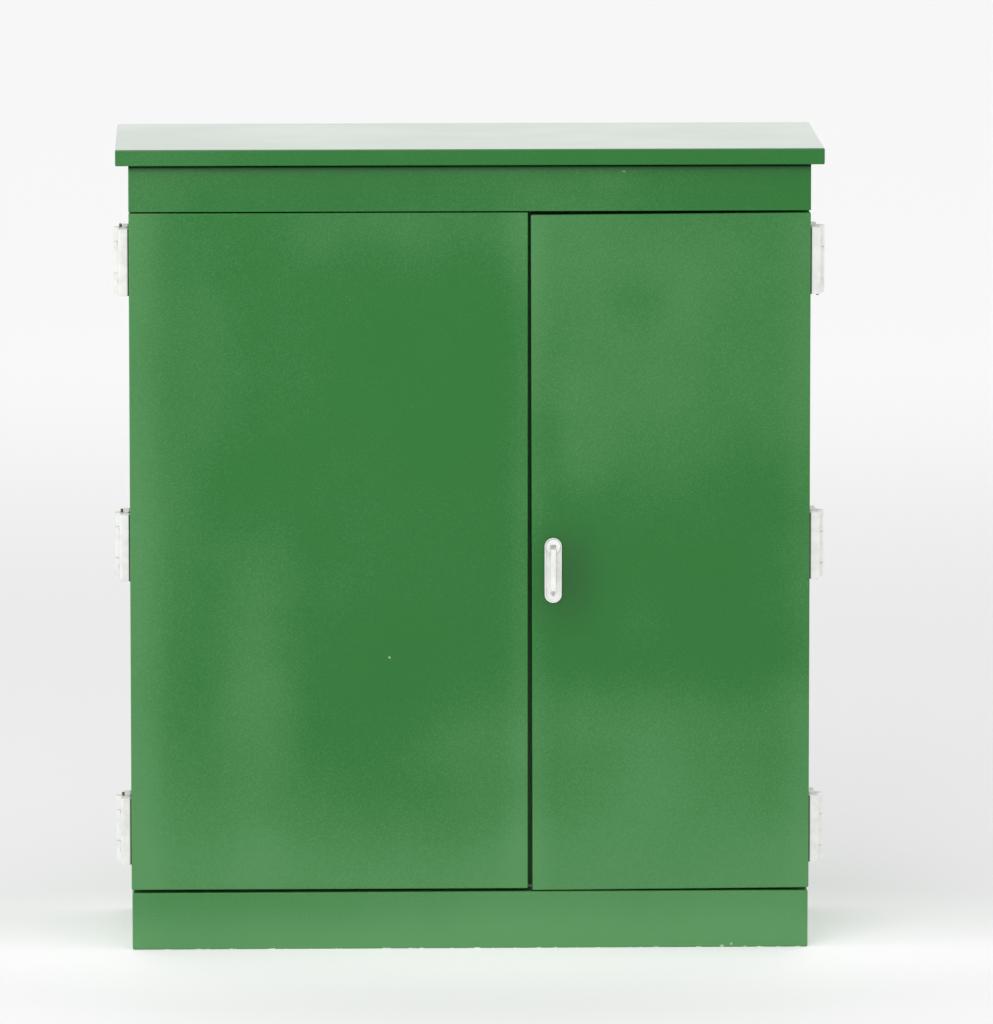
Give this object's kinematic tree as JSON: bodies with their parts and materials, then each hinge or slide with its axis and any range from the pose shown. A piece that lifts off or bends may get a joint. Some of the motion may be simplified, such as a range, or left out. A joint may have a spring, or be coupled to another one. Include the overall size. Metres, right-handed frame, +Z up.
{
  "type": "roadside utility cabinet",
  "caption": "Green two-door steel street cabinet on a plinth with flat overhanging roof, pale block hinges, folding handle with rod lock, and switchgear inside.",
  "frame": {"origin": "centre of the footprint, at the ground under the plinth", "axes": "+Z up, doors facing -Y, +X to the right seen from the front"},
  "size_m": [1.0444, 0.408, 1.188],
  "materials": {
    "green_paint": "satin spray paint",
    "roof_paint": "semi-gloss paint",
    "hinge_casting": "smooth pale paint",
    "handle_paint": "smooth pale paint",
    "galvanised": "galvanised sheet",
    "zinc_sheet": "zinc-coated sheet",
    "plated_steel": "plated",
    "pin_steel": "dull, browned",
    "lock_steel": "satin",
    "seal_rubber": "matt",
    "black_plastic": "matt",
    "pale_plastic": "matt",
    "toggle_plastic": "matt",
    "grey_plastic": "matt",
    "red_plastic": "gloss",
    "copper": "bright copper"
  },
  "bodies": {
    "carcass": {"plinth": "green_paint", "floor_pan": "galvanised", "gland_plate": "zinc_sheet", "side_panel_left": "green_paint", "side_panel_right": "green_paint", "back_panel": "green_paint", "ceiling": "galvanised", "head_rail": "green_paint", "sill_rail": "green_paint", "mullion": "green_paint", "header_fascia": "green_paint", "roof_cap": "roof_paint", "body_leaf_left_upper": "hinge_casting", "body_leaf_left_middle": "hinge_casting", "body_leaf_left_lower": "hinge_casting", "body_leaf_right_upper": "hinge_casting", "body_leaf_right_middle": "hinge_casting", "body_leaf_right_lower": "hinge_casting", "hinge_pins_left": "pin_steel", "hinge_pins_right": "pin_steel", "mounting_plate_left": "zinc_sheet", "mounting_plate_right": "zinc_sheet", "standoffs": "plated_steel", "mounting_rails": "plated_steel", "breakers": "pale_plastic", "terminal_row": "grey_plastic", "main_switch": "black_plastic", "earth_bar": "copper"},
    "left_door": {"door_left": "green_paint", "edge_rail_left": "galvanised", "seal_left": "seal_rubber", "door_leaf_left_upper": "hinge_casting", "door_leaf_left_middle": "hinge_casting", "door_leaf_left_lower": "hinge_casting", "bolt_guides": "black_plastic"},
    "right_door": {"door_right": "green_paint", "edge_rail_right": "galvanised", "seal_right": "seal_rubber", "door_leaf_right_upper": "hinge_casting", "door_leaf_right_middle": "hinge_casting", "door_leaf_right_lower": "hinge_casting", "handle_dish": "handle_paint", "rod_guides": "black_plastic"},
    "handle": {"handle_rotor": "handle_paint", "lever_pin": "plated_steel", "cam_plate": "plated_steel"},
    "lever": {"handle_lever": "handle_paint"},
    "lock": {"lock_plug": "lock_steel"},
    "upper_rod": {"rod_upper": "plated_steel"},
    "lower_rod": {"rod_lower": "plated_steel"},
    "top_bolt": {"bolt_top": "plated_steel"},
    "bottom_bolt": {"bolt_bottom": "plated_steel"},
    "left_toggle": {"toggle_left": "toggle_plastic"},
    "middle_toggle": {"toggle_middle": "toggle_plastic"},
    "right_toggle": {"toggle_right": "toggle_plastic"},
    "knob": {"switch_knob": "red_plastic"}
  },
  "joints": [
    {"name": "left_door_swing", "type": "hinge", "parent": "carcass", "child": "left_door", "pos_m": [-0.512, -0.147, 0.6], "axis": [0, 0, -1], "range_deg": [0, 120]},
    {"name": "right_door_swing", "type": "hinge", "parent": "carcass", "child": "right_door", "pos_m": [0.512, -0.147, 0.6], "axis": [0, 0, 1], "range_deg": [0, 120]},
    {"name": "handle_turn", "type": "hinge", "parent": "right_door", "child": "handle", "pos_m": [0.122, -0.18, 0.5995], "axis": [0, -1, 0], "range_deg": [0, 90]},
    {"name": "lever_lift", "type": "hinge", "parent": "handle", "child": "lever", "pos_m": [0.122, -0.1894, 0.593], "axis": [-1, 0, 0], "range_deg": [0, 35]},
    {"name": "lock_turn", "type": "hinge", "parent": "right_door", "child": "lock", "pos_m": [0.122, -0.18, 0.529], "axis": [0, -1, 0], "range_deg": [0, 90]},
    {"name": "upper_rod_slide", "type": "slide", "parent": "right_door", "child": "upper_rod", "axis": [0, 0, 1], "range_m": [0, 0.0198]},
    {"name": "lower_rod_slide", "type": "slide", "parent": "right_door", "child": "lower_rod", "axis": [0, 0, -1], "range_m": [0, 0.0198]},
    {"name": "top_bolt_slide", "type": "slide", "parent": "left_door", "child": "top_bolt", "axis": [0, 0, 1], "range_m": [0, 0.02]},
    {"name": "bottom_bolt_slide", "type": "slide", "parent": "left_door", "child": "bottom_bolt", "axis": [0, 0, -1], "range_m": [0, 0.02]},
    {"name": "left_toggle_flip", "type": "hinge", "parent": "carcass", "child": "left_toggle", "pos_m": [-0.2685, 0.0805, 0.954], "axis": [-1, 0, 0], "range_deg": [0, 50]},
    {"name": "middle_toggle_flip", "type": "hinge", "parent": "carcass", "child": "middle_toggle", "pos_m": [-0.2065, 0.0805, 0.954], "axis": [-1, 0, 0], "range_deg": [0, 50]},
    {"name": "right_toggle_flip", "type": "hinge", "parent": "carcass", "child": "right_toggle", "pos_m": [-0.1445, 0.0805, 0.954], "axis": [-1, 0, 0], "range_deg": [0, 50]},
    {"name": "knob_turn", "type": "hinge", "parent": "carcass", "child": "knob", "pos_m": [0.292, 0.06, 0.954], "axis": [0, -1, 0], "range_deg": [0, 90]}
  ],
  "couplings": [
    {"joint": "upper_rod_slide", "follows": "handle_turn", "m_per_rad": 0.012604},
    {"joint": "lower_rod_slide", "follows": "handle_turn", "m_per_rad": 0.012604}
  ]
}
